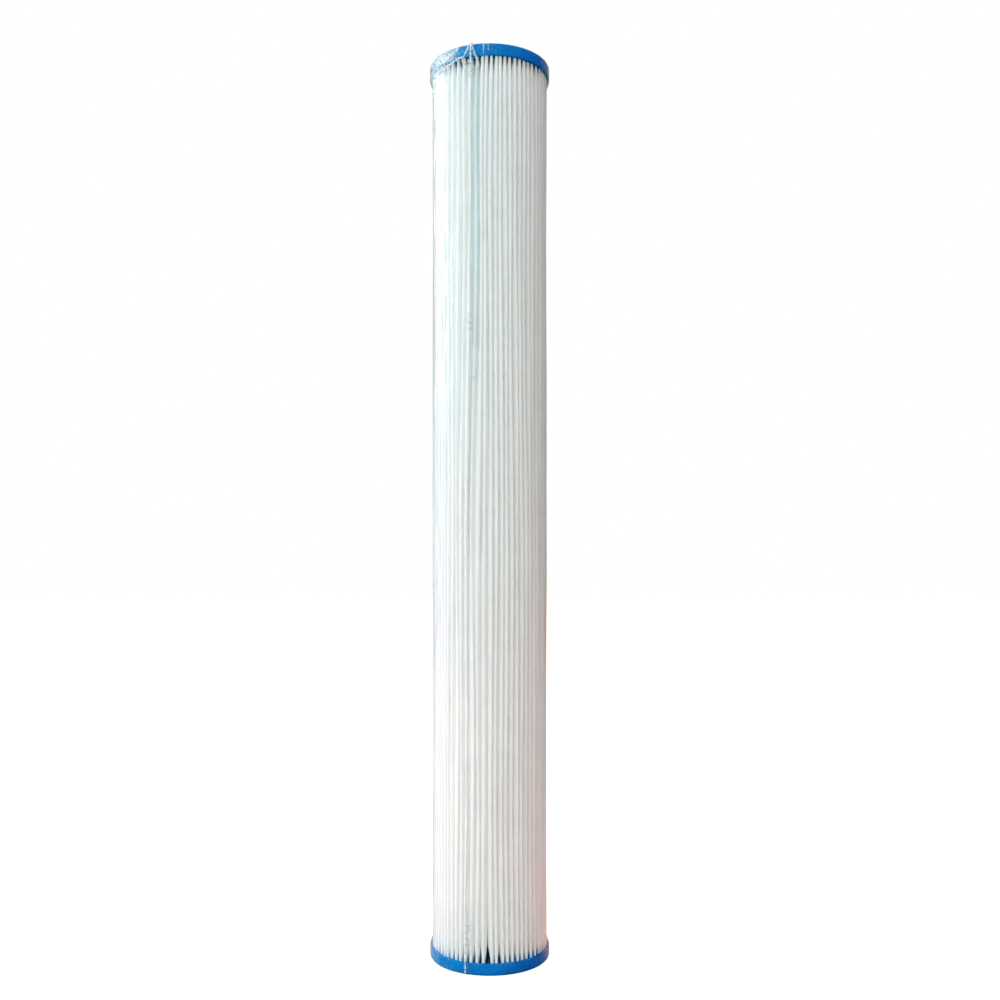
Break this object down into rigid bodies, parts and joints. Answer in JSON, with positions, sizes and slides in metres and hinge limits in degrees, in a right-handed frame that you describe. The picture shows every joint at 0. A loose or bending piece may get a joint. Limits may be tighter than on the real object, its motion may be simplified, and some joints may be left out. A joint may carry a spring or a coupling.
{
  "type": "pleated filter cartridge",
  "caption": "Slim double open ended pleated cartridge with a perforated core, soft blue end caps and a clear shrink film.",
  "frame": {"origin": "on the axis, in the plane of the bottom cap's sealing land", "axes": "+Z along the axis from the bottom cap to the top cap; the front faces -Y and the sheet's side seam faces +Y"},
  "size_m": [0.0684, 0.0682, 0.508],
  "materials": {
    "end_cap": "soft moulded plastisol, satin",
    "media": "white spunbonded nonwoven",
    "adhesive": "set hot-melt adhesive",
    "core": "natural moulded polypropylene",
    "film": "clear shrink film, glossy",
    "film_weld": "clear welded film, glossy"
  },
  "bodies": {
    "root": {"bottom_end_cap": "end_cap", "top_end_cap": "end_cap", "pleated_media": "media", "media_side_seam": "adhesive", "core_tube_lower": "core", "core_tube_upper": "core", "shrink_film": "film", "film_weld_seam": "film_weld"}
  },
  "joints": []
}
